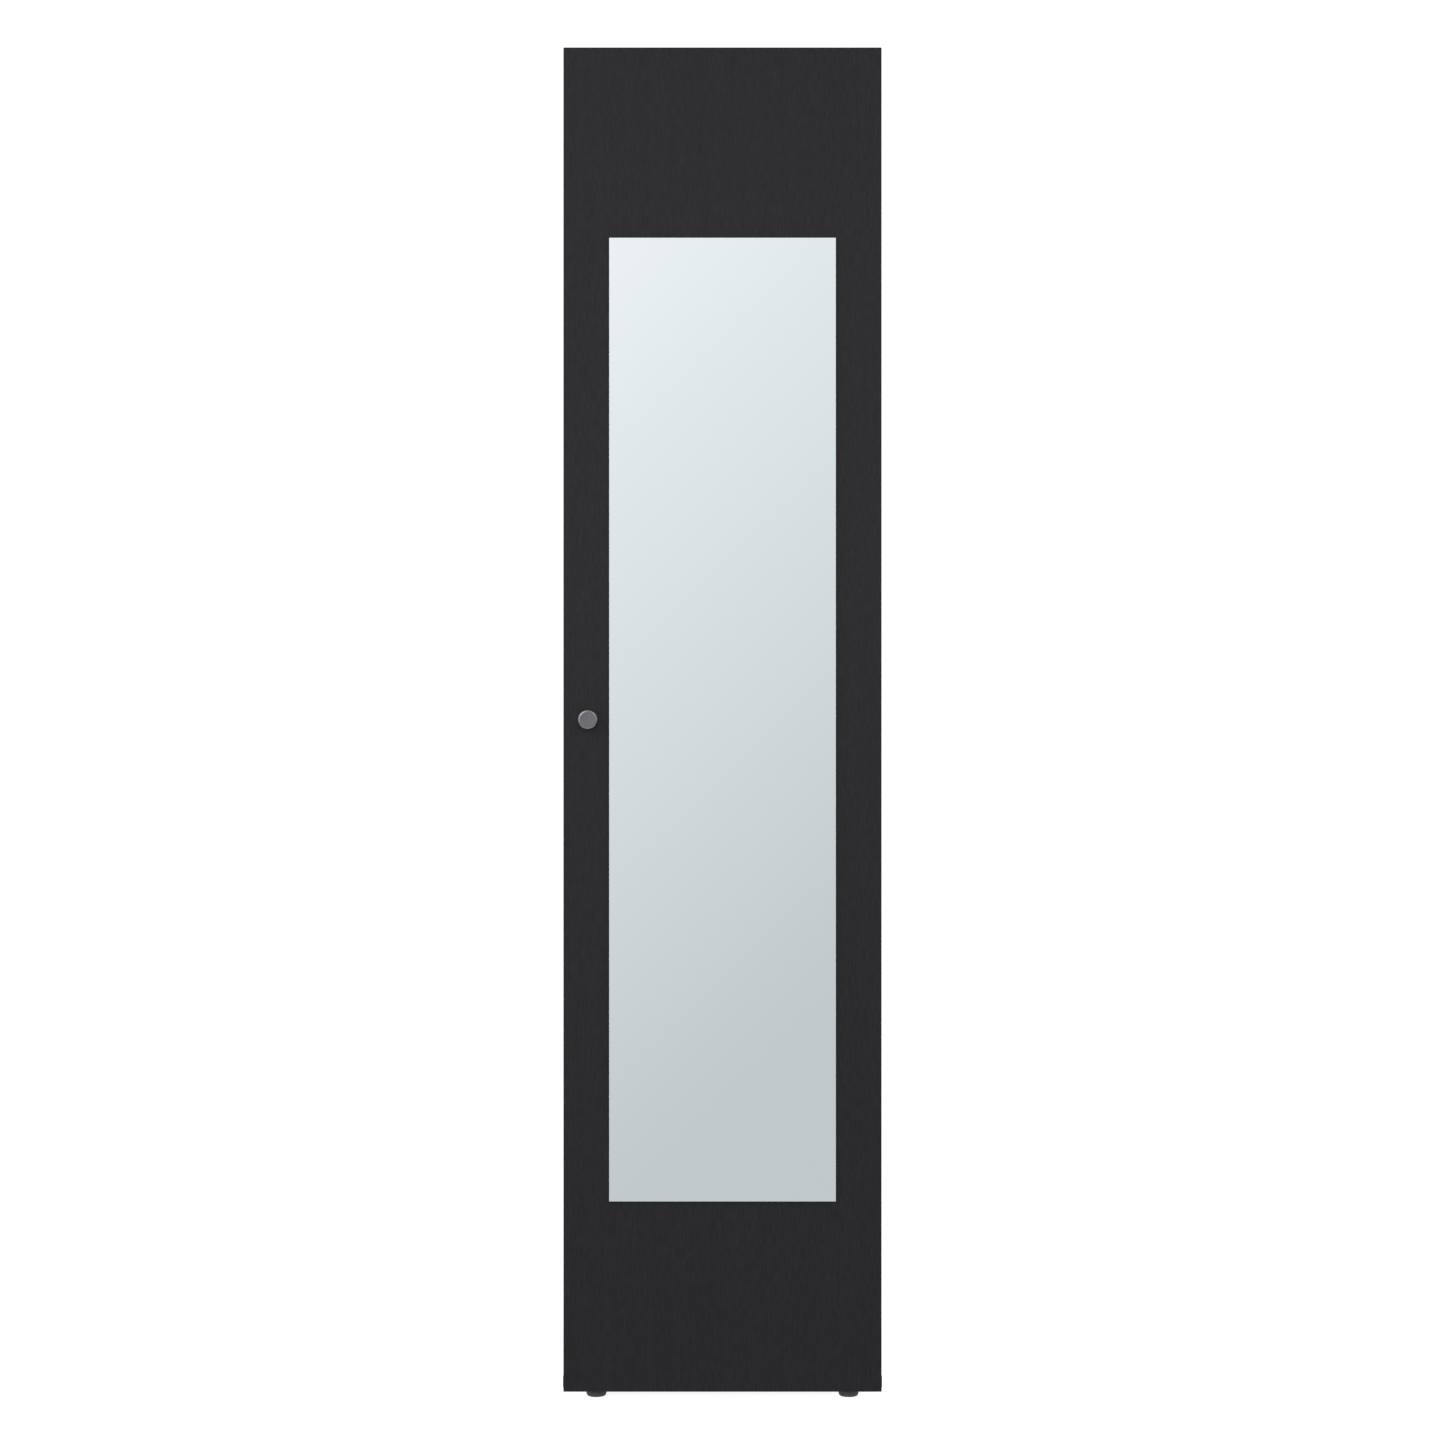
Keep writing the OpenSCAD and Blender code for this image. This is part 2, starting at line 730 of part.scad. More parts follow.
// Caps over the holes through which the feet are turned from inside
module foot_hole_caps() {
    cap_r = 9.5;
    cap_t = 1.5;
    skirt_wall = 1;
    color(plastic)
        for (x = foot_xs, y = foot_ys)
            translate([x, y, base_top_z]) {
                rod_z(cap_r, cap_t);
                translate([0, 0, stud_z1 - base_top_z]) difference() {
                    rod_z(insert_r, base_top_z - stud_z1);
                    translate([0, 0, -1]) rod_z(insert_r - skirt_wall, base_top_z - stud_z1 + 1);
                }
            }
}

// Plastic disc with a drafted lower edge, a cone and a six-sided collar for a spanner
module foot_base(x, y) {
    disc_r = foot_d / 2;
    disc_t = 9;
    draft_z = 3.5;
    lower_r = 1.2;
    collar_r = 9;
    cone_z = 11.5;
    collar_z = 17;
    profile = concat(
        [[0, 0]],
        arc(disc_r - 1 - lower_r, lower_r, lower_r, 270, 360, 4),
        [[disc_r, draft_z], [disc_r, disc_t - 1], [disc_r - 1, disc_t], [collar_r, cone_z], [0, cone_z]]);
    color(plastic) translate([x, y, 0]) difference() {
        union() {
            rotate_extrude($fn = 96) polygon(profile);
            cylinder(h = collar_z, r = collar_r, $fn = 6);
        }
        translate([0, 0, stud_z0]) rod_z(stud_r, collar_z);
    }
}

// Threaded stud with a socket in its top for an Allen key
module foot_stud(x, y) {
    key_r = 3;
    key_depth = 6;
    color(steel) translate([x, y, stud_z0]) difference() {
        rod_z(stud_r, stud_z1 - stud_z0);
        translate([0, 0, stud_z1 - stud_z0 - key_depth]) cylinder(h = key_depth + 1, r = key_r, $fn = 6);
    }
}

// ---------- nodes ----------

bottom_panel();
top_panel();
side_panel(-1);  // side_panel_left
side_panel(1);  // side_panel_right
back_panel();
back_panel_nails();
hat_shelf();
lower_shelf();
shelf_pins();
clothes_rail();
rail_holder(-1);  // rail_holder_left
rail_holder(1);  // rail_holder_right
rail_holder_screws();
cam_housings();
cam_bolts();
wood_dowels();
base_screws();
foot_inserts();
foot_hole_caps();
for (k = [0 : 3]) {
    hinge_plate(hinge_zs[k]);
    hinge_arm(hinge_zs[k]);
    hinge_cup(hinge_zs[k]);
}
hinge_plate_screws();
hinge_arm_screws();
door_bumpers();
catch_housing();
catch_magnet();
catch_screws();
wall_bracket();
wall_bracket_screws();
door_panel();
mirror_glass();
mirror_tape();
knob();
knob_screw();
hinge_pins();
hinge_cup_screws();
catch_plate();
catch_plate_screw();
for (i = [0 : 1], j = [0 : 1]) {
    place = str(["front", "back"][j], "_", ["left", "right"][i]);
    foot_base(foot_xs[i], foot_ys[j]);
    foot_stud(foot_xs[i], foot_ys[j]);
}
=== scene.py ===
"""Looks of the tall wardrobe with a mirror door: finished pieces over the CAD frame, studio and camera."""

import json
import math

import bmesh
import bpy
from mathutils import Matrix, Vector


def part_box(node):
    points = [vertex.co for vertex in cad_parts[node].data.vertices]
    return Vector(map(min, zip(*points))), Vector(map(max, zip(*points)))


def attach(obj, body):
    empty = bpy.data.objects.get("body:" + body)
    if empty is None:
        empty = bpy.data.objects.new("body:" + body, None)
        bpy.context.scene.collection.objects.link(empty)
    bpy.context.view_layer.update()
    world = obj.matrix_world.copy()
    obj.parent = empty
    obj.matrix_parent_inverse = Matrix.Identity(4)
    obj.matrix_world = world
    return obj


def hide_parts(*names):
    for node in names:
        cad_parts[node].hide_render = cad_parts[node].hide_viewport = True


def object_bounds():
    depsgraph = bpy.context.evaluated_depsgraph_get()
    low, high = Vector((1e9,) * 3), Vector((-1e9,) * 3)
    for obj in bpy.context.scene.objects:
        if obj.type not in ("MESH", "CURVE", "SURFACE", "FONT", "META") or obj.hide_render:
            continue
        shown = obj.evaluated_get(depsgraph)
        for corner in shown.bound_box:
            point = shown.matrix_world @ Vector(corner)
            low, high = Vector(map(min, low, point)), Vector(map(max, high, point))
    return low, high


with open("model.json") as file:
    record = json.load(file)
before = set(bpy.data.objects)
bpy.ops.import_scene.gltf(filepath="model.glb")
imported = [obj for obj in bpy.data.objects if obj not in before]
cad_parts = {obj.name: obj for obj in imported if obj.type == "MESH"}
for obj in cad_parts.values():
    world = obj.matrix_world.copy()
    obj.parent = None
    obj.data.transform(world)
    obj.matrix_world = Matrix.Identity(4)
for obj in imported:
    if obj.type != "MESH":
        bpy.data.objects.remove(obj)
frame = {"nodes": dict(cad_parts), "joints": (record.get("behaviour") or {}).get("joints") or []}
cad_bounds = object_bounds()
scene = bpy.context.scene

DOOR_LOW, DOOR_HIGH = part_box("door_panel")
HINGES = range(1, 5)
FEET = ("front_left", "front_right", "back_left", "back_right")
ARRIS_WIDTH = 0.0007    # rounding of a board's outer edges
TOUCH = 5e-6            # coordinates this close count as the same
FACING = 0.99           # cosine past which a face looks straight along a direction

# ---------- materials ----------


class Shader:
    """A material with short ways to add nodes to it. Lengths in textures are metres on the object's axes."""

    def __init__(self, name, **settings):
        self.material = bpy.data.materials.new(name)
        self.material.use_nodes = True
        self.tree = self.material.node_tree
        self.bsdf = self.tree.nodes["Principled BSDF"]
        self.place = self.add("ShaderNodeTexCoord").outputs["Object"]
        for key, value in settings.items():
            self.bsdf.inputs[key.replace("_", " ").title().replace("Ior", "IOR")].default_value = value

    def add(self, kind, inputs=None, **props):
        node = self.tree.nodes.new(kind)
        for key, value in props.items():
            setattr(node, key, value)
        for key, value in (inputs or {}).items():
            if isinstance(value, bpy.types.NodeSocket):
                self.tree.links.new(value, node.inputs[key])
            else:
                node.inputs[key].default_value = value
        return node

    def noise(self, scale, stretch=(1, 1, 1), detail=2.0, rough=0.5):
        """Noise with features about 1 / scale metres across, drawn out along an axis by a stretch below 1."""
        spot = self.add("ShaderNodeMapping", {"Vector": self.place, "Scale": stretch})
        return self.add(
            "ShaderNodeTexNoise",
            {"Vector": spot.outputs["Vector"], "Scale": scale, "Detail": detail, "Roughness": rough},
        ).outputs["Fac"]

    def remap(self, value, low, high, start=0.35, end=0.65):
        """Moves start..end of a texture to low..high."""
        return self.add(
            "ShaderNodeMapRange",
            {"Value": value, "From Min": start, "From Max": end, "To Min": low, "To Max": high},
        ).outputs["Result"]

    def tint(self, value, dark, light, start=0.3, end=0.7):
        """Turns start..end of a texture to the colours from dark to light."""
        ramp = self.add("ShaderNodeValToRGB", {"Fac": value})
        ramp.color_ramp.elements[0].position, ramp.color_ramp.elements[1].position = start, end
        ramp.color_ramp.elements[0].color = (*dark, 1)
        ramp.color_ramp.elements[1].color = (*light, 1)
        return ramp.outputs["Color"]

    def math(self, operation, a, b):
        return self.add("ShaderNodeMath", {0: a, 1: b}, operation=operation).outputs["Value"]

    def bump(self, height, depth):
        """A height texture of that depth in metres."""
        inputs = {"Height": height, "Distance": depth, "Strength": 1.0}
        return self.add("ShaderNodeBump", inputs).outputs["Normal"]

    def finish(self, color=None, roughness=None, normal=None):
        """Joins the textures to the shader and gives the material."""
        for key, value in (("Base Color", color), ("Roughness", roughness), ("Normal", normal)):
            if value is not None:
                self.tree.links.new(value, self.bsdf.inputs[key])
        return self.material


FOIL_DARK, FOIL_LIGHT = (0.0098, 0.0098, 0.0111), (0.0150, 0.0150, 0.0170)
# a lighter copy of the foil for the inward faces: painted light that brightens the dim inside of the carcass
PAINTED_LIGHT_INNER_DARK, PAINTED_LIGHT_INNER_LIGHT = (0.022, 0.022, 0.0235), (0.031, 0.031, 0.033)
# lighter foil on the rounded edges: a painted highlight along each arris; its lower roughness is real
ARRIS_HIGHLIGHT_DARK, ARRIS_HIGHLIGHT_LIGHT = (0.014, 0.014, 0.0155), (0.022, 0.022, 0.0245)
FOIL_PRESS = 0.000025   # depth of the pressed grain


def foil(name, along, dark=FOIL_DARK, light=FOIL_LIGHT, gloss=0.0):
    """Near-black decor foil with a fine pressed grain that runs along one axis (0, 1, 2 for X, Y, Z)."""

    def drawn(stretch):
        return tuple(stretch if axis == along else 1.0 for axis in range(3))

    s = Shader(name, specular_ior_level=0.17)
    pores = s.noise(470, drawn(0.11), detail=4, rough=0.6)
    figure = s.noise(120, drawn(0.02), detail=3, rough=0.55)
    pore_share = 0.85
    blend = s.math("ADD", s.math("MULTIPLY", pores, pore_share), s.math("MULTIPLY", figure, 1 - pore_share))
    color = s.tint(blend, dark, light, 0.38, 0.62)
    handled = s.noise(5, detail=4, rough=0.6)
    rough = s.math("ADD", s.remap(blend, 0.42 - gloss, 0.46 - gloss), s.remap(handled, 0.0, 0.012))
    normal = s.bump(s.remap(pores, 0, 1, 0.3, 0.7), FOIL_PRESS)
    return s.finish(color, rough, normal)


X_AXIS, Z_AXIS = 0, 2
FOILS = {axis: foil(f"foil_grain_{'xyz'[axis]}", axis) for axis in (X_AXIS, Z_AXIS)}
PAINTED_LIGHT_INNER = {axis: foil(f"foil_inside_painted_light_{'xyz'[axis]}", axis, PAINTED_LIGHT_INNER_DARK, PAINTED_LIGHT_INNER_LIGHT) for axis in (X_AXIS, Z_AXIS)}
ARRIS_HIGHLIGHT = foil("foil_arris_painted_highlight", Z_AXIS, ARRIS_HIGHLIGHT_DARK, ARRIS_HIGHLIGHT_LIGHT, gloss=0.10)


def fibreboard():
    """Thin board for the back, painted black over its fibres."""
    s = Shader("painted_fibreboard", specular_ior_level=0.3)
    fibres = s.noise(420, detail=5, rough=0.7)
    color = s.tint(fibres, (0.021, 0.021, 0.022), (0.033, 0.033, 0.035))
    return s.finish(color, s.remap(fibres, 0.55, 0.7), s.bump(fibres, 0.00004))


def mirror_silver():
    """Silver seen through float glass: faint haze where hands and cloths have been."""
    s = Shader("mirror_silver", metallic=1.0, base_color=(0.801, 0.872, 0.899, 1))
    haze = s.noise(3.5, detail=4, rough=0.6)
    return s.finish(None, s.remap(haze, 0.0, 0.012, 0.5, 0.75))


def ground_glass():
    """The glass's own edge, ground matt, green by its depth."""
    s = Shader("ground_glass", specular_ior_level=0.5, coat_weight=0.3, coat_roughness=0.25)
    grit = s.noise(2600, detail=3, rough=0.7)
    color = s.tint(grit, (0.20, 0.33, 0.30), (0.36, 0.50, 0.46))
    return s.finish(color, s.remap(grit, 0.35, 0.55), s.bump(grit, 0.00002))


def mirror_backing():
    """Grey paint sprayed on the back of the silver."""
    s = Shader("mirror_backing")
    spray = s.noise(900, detail=4, rough=0.6)
    return s.finish(s.tint(spray, (0.16, 0.17, 0.18), (0.22, 0.23, 0.24)), s.remap(spray, 0.5, 0.65))


def plated(name, dark, light, rough, patch=180, drawn=(1, 1, 1)):
    """Plated steel: cloudy plating over a fine drawn or rolled surface."""
    s = Shader(name, metallic=0.85)
    cloud = s.noise(patch, detail=4, rough=0.6)
    lines = s.noise(2200, drawn, detail=3, rough=0.6)
    sheen = s.remap(cloud, rough * 0.8, rough * 1.25)
    return s.finish(s.tint(cloud, dark, light), sheen, s.bump(lines, 0.000006))


def knob_metal(name, dark, light):
    """Satin nickel, turned: fine rings about the knob's own axis, which is its object's Y."""
    s = Shader(name, metallic=1.0)
    rings = s.add(
        "ShaderNodeTexWave",
        {"Vector": s.place, "Scale": 1500.0, "Distortion": 1.2, "Detail": 2.0},
        wave_type="RINGS",
        rings_direction="Y",
    ).outputs["Fac"]
    cloud = s.noise(160, detail=4, rough=0.6)
    color = s.tint(cloud, dark, light)
    rough = s.math("ADD", s.remap(cloud, 0.30, 0.36), s.math("MULTIPLY", rings, 0.05))
    return s.finish(color, rough, s.bump(rings, 0.000008))


def moulded(name, dark, light):
    """Moulded plastic with a fine spark-eroded surface."""
    s = Shader(name, specular_ior_level=0.45)
    grit = s.noise(1900, detail=4, rough=0.65)
    scuff = s.noise(60, detail=5, rough=0.7)
    return s.finish(s.tint(scuff, dark, light), s.remap(scuff, 0.42, 0.6), s.bump(grit, 0.00003))


def soft_dot():
    """Clear soft plastic of the dots where the door lands."""
    s = Shader("bumper", specular_ior_level=0.5, transmission_weight=0.5, ior=1.45)
    cloud = s.noise(700, detail=3)
    return s.finish(s.tint(cloud, (0.62, 0.63, 0.63), (0.74, 0.75, 0.75)), s.remap(cloud, 0.25, 0.4))


def foam():
    """White foam tape with fine open cells."""
    s = Shader("foam_tape", specular_ior_level=0.2)
    cells = s.add("ShaderNodeTexVoronoi", {"Vector": s.place, "Scale": 1600.0}).outputs["Distance"]
    color = s.tint(cells, (0.62, 0.62, 0.60), (0.78, 0.78, 0.76), 0.1, 0.8)
    return s.finish(color, s.remap(cells, 0.8, 0.95), s.bump(cells, 0.00012))


def birch():
    """Pale dowel wood with its grain along X."""
    s = Shader("birch_dowel", specular_ior_level=0.3)
    rays = s.noise(900, (0.08, 1, 1), detail=4, rough=0.6)
    color = s.tint(rays, (0.44, 0.28, 0.13), (0.62, 0.43, 0.22))
    return s.finish(color, s.remap(rays, 0.5, 0.7), s.bump(rays, 0.00008))


FIBREBOARD, SILVER, GROUND, BACKING = fibreboard(), mirror_silver(), ground_glass(), mirror_backing()
ZINC = plated("zinc_plate", (0.46, 0.48, 0.51), (0.62, 0.63, 0.64), 0.40)
NICKEL = plated("nickel_plate", (0.58, 0.56, 0.53), (0.70, 0.68, 0.65), 0.34)
CHROME = plated("chrome_tube", (0.62, 0.63, 0.65), (0.70, 0.71, 0.73), 0.09, 60, (0.02, 1, 1))
KNOB_FACE = knob_metal("knob_face", (0.185, 0.170, 0.197), (0.215, 0.200, 0.230))
# the rim's copy of the knob metal is lighter than the face's: a painted highlight on the rounded rim
KNOB_RIM_PAINTED_HIGHLIGHT = knob_metal("knob_rim_painted_highlight", (0.255, 0.250, 0.258), (0.295, 0.290, 0.298))
PLASTIC = moulded("dark_plastic", (0.053, 0.053, 0.053), (0.076, 0.076, 0.076))
BUMPER, FOAM, BIRCH = soft_dot(), foam(), birch()

# ---------- mesh tools ----------


def welded(node):
    """A CAD node's mesh with its seams closed and its flat faces joined."""
    bm = bmesh.new()
    bm.from_mesh(frame["nodes"][node].data)
    bmesh.ops.remove_doubles(bm, verts=bm.verts, dist=2e-6)
    bmesh.ops.dissolve_limit(bm, angle_limit=math.radians(0.3), verts=bm.verts, edges=bm.edges)
    bm.normal_update()
    return bm


def sharp_edges(bm, degrees=30):
    """Edges whose two faces turn by more than that angle."""
    return [e for e in bm.edges if len(e.link_faces) == 2 and e.calc_face_angle(0) > math.radians(degrees)]


def outer_edges(bm):
    """Edges that lie along the edges of the mesh's own box."""
    low = Vector(min(v.co[k] for v in bm.verts) for k in range(3))
    high = Vector(max(v.co[k] for v in bm.verts) for k in range(3))

    def walls(v):
        return {(k, s) for k in range(3) for s, w in enumerate((low, high)) if abs(v.co[k] - w[k]) < TOUCH}

    return [e for e in bm.edges if len(walls(e.verts[0]) & walls(e.verts[1])) >= 2]


def round_off(bm, edges, width, segments=2, clamp=True):
    """Rounds edges, and gives the new faces."""
    made = bmesh.ops.bevel(
        bm, geom=edges, offset=width, offset_type="OFFSET", segments=segments, profile=0.5,
        affect="EDGES", clamp_overlap=clamp,
    )
    return made["faces"]


def arc(cx, cy, r, start, end, steps):
    """Points of an arc about (cx, cy), from a start to an end angle in degrees."""
    angles = (math.radians(start + (end - start) * k / steps) for k in range(steps + 1))
    return [(cx + r * math.cos(angle), cy + r * math.sin(angle)) for angle in angles]


def lathe(profile, turns=160):
    """A closed turned form about Z from points (radius, height) that start and end on the axis."""
    bm = bmesh.new()
    angles = [2 * math.pi * k / turns for k in range(turns)]
    rings = []
    for r, h in profile:
        if r < 1e-9:
            rings.append([bm.verts.new((0, 0, h))])
        else:
            rings.append([bm.verts.new((r * math.cos(angle), r * math.sin(angle), h)) for angle in angles])
    for a, b in zip(rings, rings[1:]):
        for k in range(turns):
            n = (k + 1) % turns
            loop = [a[k % len(a)], a[n % len(a)], b[n % len(b)], b[k % len(b)]]
            loop = [v for i, v in enumerate(loop) if v not in loop[:i]]
            bm.faces.new(loop)
    bmesh.ops.recalc_face_normals(bm, faces=bm.faces)
    return bm


def to_piece(bm, name, body, materials, replaced, smooth=35):
    """Makes the finished mesh an object that rides on a body and stands for CAD nodes."""
    mesh = bpy.data.meshes.new(name)
    bm.normal_update()
    bm.to_mesh(mesh)
    bm.free()
    for m in materials:
        mesh.materials.append(m)
    mesh.shade_smooth()
    mesh.set_sharp_from_angle(angle=math.radians(smooth))
    piece = bpy.data.objects.new(name, mesh)
    scene.collection.objects.link(piece)
    even = piece.modifiers.new("even_normals", "WEIGHTED_NORMAL")
    even.keep_sharp = True
    even.weight = 80
    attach(piece, body)
    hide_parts(*replaced)
    return piece


# ---------- boards ----------


def board(node, grain, inward):
    """A carcass board: soft outer edges, the CAD's drillings, and on its inward faces a lighter copy of the
    foil, painted light for the dim inside.
    """
    bm = welded(node)
    for face in round_off(bm, outer_edges(bm), ARRIS_WIDTH, 3, clamp=False):
        # the rounded edges take the lighter foil, a painted highlight
        face.material_index = 1
    bm.normal_update()
    for face in bm.faces:
        # inward faces take the lighter foil copy, painted light for the dim inside
        if any(face.normal.dot(way) > FACING for way in inward):
            face.material_index = 2
    materials = [FOILS[grain], ARRIS_HIGHLIGHT, PAINTED_LIGHT_INNER[grain]]
    to_piece(bm, f"{node}_foiled", "carcass", materials, [node])


UP, DOWN, RIGHT, LEFT = Vector((0, 0, 1)), Vector((0, 0, -1)), Vector((1, 0, 0)), Vector((-1, 0, 0))
board("side_panel_left", Z_AXIS, [RIGHT])
board("side_panel_right", Z_AXIS, [LEFT])
board("bottom_panel", X_AXIS, [UP])
board("top_panel", X_AXIS, [DOWN])
board("hat_shelf", X_AXIS, [UP, DOWN])
board("lower_shelf", X_AXIS, [UP, DOWN])


def door_board():
    """The door: its long edges come rounded from the CAD, and the ends get the same arris."""
    bm = welded("door_panel")
    ends = [
        e for e in sharp_edges(bm)
        if all(min(abs(v.co.z - DOOR_LOW.z), abs(v.co.z - DOOR_HIGH.z)) < TOUCH for v in e.verts)
    ]
    round_off(bm, ends, ARRIS_WIDTH, 3, clamp=False)
    bm.normal_update()
    edge_zone = 0.0012
    for face in bm.faces:
        rounding = max(abs(c) for c in face.normal) < 0.998
        at = face.calc_center_median()
        from_sides = min(at.x - DOOR_LOW.x, DOOR_HIGH.x - at.x)
        from_ends = min(at.z - DOOR_LOW.z, DOOR_HIGH.z - at.z)
        # rounded edge faces take the lighter foil, a painted highlight
        if rounding and min(from_sides, from_ends) < edge_zone:
            face.material_index = 1
    to_piece(bm, "door_panel_foiled", "door", [FOILS[Z_AXIS], ARRIS_HIGHLIGHT], ["door_panel"])


door_board()

# ---------- mirror ----------


def mirror():
    """The glass: silver in front, ground edges, paint behind."""
    bm = welded("mirror_glass")
    round_off(bm, sharp_edges(bm, 60), 0.0004, 2, clamp=False)
    bm.normal_update()
    for face in bm.faces:
        face.material_index = 0 if face.normal.y < -FACING else 2 if face.normal.y > FACING else 1
    to_piece(bm, "mirror_plate", "door", [SILVER, GROUND, BACKING], ["mirror_glass"])


mirror()

# ---------- knob ----------


def knob():
    """Turned knob: seat, slim neck, and a head with a rounded rim and a barely dished face."""
    low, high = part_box("knob")
    centre = Vector(((low.x + high.x) / 2, high.y, (low.z + high.z) / 2))
    head_r, reach = (high.x - low.x) / 2, high.y - low.y
    # _t is a thickness, _r and the other names are radii, and dish is the hollow of the face
    seat_t, neck_r, flare, broken = 0.0015, 0.0055, 0.0028, 0.0002
    head_t, cone_t, lip, rim, dish = 0.008, 0.004, 0.001, 0.0035, 0.00022
    seat_r = neck_r + flare
    cone_start = reach - head_t - cone_t
    profile = [(0, 0), *arc(seat_r, broken, broken, -90, 0, 3)]
    profile += arc(seat_r, seat_t - broken, broken, 0, 90, 3)
    profile += arc(seat_r, seat_t + flare, flare, 270, 180, 14)[1:]
    profile += [(neck_r, cone_start), (neck_r + 0.0005, cone_start + 0.0004)]
    profile += [(head_r - 0.0015, reach - head_t)]
    profile += arc(head_r - lip, reach - head_t + lip, lip, -60, 0, 6)
    profile += arc(head_r - rim, reach - rim, rim, 0, 90, 18)
    profile += [(head_r - rim - 0.0006, reach - 0.00004), (head_r / 2, reach - 0.00018), (0, reach - dish)]
    bm = lathe(profile)
    bm.transform(Matrix.Rotation(math.radians(90), 4, "X"))
    bm.normal_update()
    for face in bm.faces:
        # the face takes the face metal, the rest the lighter rim copy with its painted highlight
        face.material_index = 0 if face.normal.y < -0.98 else 1
    piece = to_piece(bm, "knob_turned", "door", [KNOB_FACE, KNOB_RIM_PAINTED_HIGHLIGHT], ["knob"], smooth=50)
    piece.location = centre


knob()

# ---------- hardware ----------


def hardware(node, body, material, width=0.0003, segments=2):
    """A pressed, cast or moulded piece: the CAD's shape with its sharp edges broken."""
    bm = welded(node)
    round_off(bm, sharp_edges(bm), width, segments)
    to_piece(bm, f"{node}_finished", body, [material], [node])


for k in HINGES:
    hardware(f"hinge_plate_{k}", "carcass", NICKEL)
    hardware(f"hinge_arm_{k}", "carcass", NICKEL)
    hardware(f"hinge_cup_{k}", "door", NICKEL, 0.0002)
hardware("catch_housing", "carcass", PLASTIC, 0.0006, 3)
hardware("catch_magnet", "carcass", ZINC, 0.0002)
hardware("catch_plate", "door", NICKEL, 0.0003)
hardware("wall_bracket", "carcass", ZINC, 0.0003)
for side in ("left", "right"):
    hardware(f"rail_holder_{side}", "carcass", CHROME, 0.0005, 3)
for foot in FEET:
    hardware(f"foot_base_{foot}", f"foot_{foot}", PLASTIC, 0.0004, 3)

# ---------- nodes that keep their CAD shape ----------

for material, nodes in (
    (FIBREBOARD, ["back_panel"]),
    (ZINC, ["back_panel_nails", "rail_holder_screws", "cam_housings", "cam_bolts", "base_screws"]),
    (ZINC, ["catch_screws", "wall_bracket_screws", "knob_screw"]),
    (ZINC, ["foot_inserts", *(f"foot_stud_{foot}" for foot in FEET)]),
    (NICKEL, ["shelf_pins", "hinge_plate_screws", "hinge_arm_screws"]),
    (NICKEL, ["hinge_pins", "hinge_cup_screws", "catch_plate_screw"]),
    (CHROME, ["clothes_rail"]),
    (BIRCH, ["wood_dowels"]),
    (PLASTIC, ["foot_hole_caps"]),
    (BUMPER, ["door_bumpers"]),
    (FOAM, ["mirror_tape"]),
):
    for node in nodes:
        for material_slot in frame["nodes"][node].material_slots:
            material_slot.material = material

# ---------- studio ----------

scene.view_settings.view_transform = "Standard"
scene.view_settings.look = "None"


def world_light():
    """Soft room light. The side the door looks at falls off from the upper left to the lower right."""
    lean, gain, middle = 0.956, 0.87, 0.797     # of the fall-off in front of the door
    dimmest, brightest, blend = 0.665, 1.05, 0.04
    bounce = 0.62                               # light from below
    world = bpy.data.worlds.new("studio")
    scene.world = world
    world.use_nodes = True
    tree = world.node_tree
    axes = tree.nodes.new("ShaderNodeSeparateXYZ")
    tree.links.new(tree.nodes.new("ShaderNodeTexCoord").outputs["Generated"], axes.inputs["Vector"])
    x, y, z = (axes.outputs[k] for k in "XYZ")

    def calc(operation, *values):
        node = tree.nodes.new("ShaderNodeMath")
        node.operation = operation
        for socket, value in zip(node.inputs, values):
            if isinstance(value, bpy.types.NodeSocket):
                tree.links.new(value, socket)
            else:
                socket.default_value = value
        return node.outputs["Value"]

    def span(value, a, b, low, high):
        node = tree.nodes.new("ShaderNodeMapRange")
        node.interpolation_type = "SMOOTHSTEP"
        for key, v in (("From Min", a), ("From Max", b), ("To Min", low), ("To Max", high)):
            node.inputs[key].default_value = v
        tree.links.new(value, node.inputs["Value"])
        return node.outputs["Result"]

    # z is 1 for light from straight above, and y is -1 for light from straight ahead of the door
    slant = calc("SUBTRACT", z, calc("MULTIPLY", x, lean))
    slope = calc("SMOOTH_MAX", calc("MULTIPLY_ADD", slant, gain, middle), dimmest, blend)
    fade = calc("MULTIPLY", span(z, -0.2, -0.45, 1, 0.35), span(z, 0.18, 0.5, 1, 0.4))
    front = calc("MULTIPLY", calc("MINIMUM", slope, brightest), fade)
    around = span(z, 0.0, -0.4, 0.88, 0.3)
    ahead = span(y, -0.3, -0.85, 0, 1)
    behind = calc("SUBTRACT", 1.0, ahead)
    level = calc("ADD", calc("MULTIPLY", front, ahead), calc("MULTIPLY", around, behind))
    level = calc("ADD", level, span(z, -0.42, -0.75, 0, bounce))
    warmth = tree.nodes.new("ShaderNodeMix")
    warmth.data_type = "RGBA"
    warmth.inputs["A"].default_value, warmth.inputs["B"].default_value = (1, 1, 1, 1), (1.03, 1, 1, 1)
    tree.links.new(span(level, 0.85, 1.0, 0, 1), warmth.inputs["Factor"])
    background = tree.nodes["Background"]
    tree.links.new(warmth.outputs["Result"], background.inputs["Color"])
    tree.links.new(level, background.inputs["Strength"])


world_light()


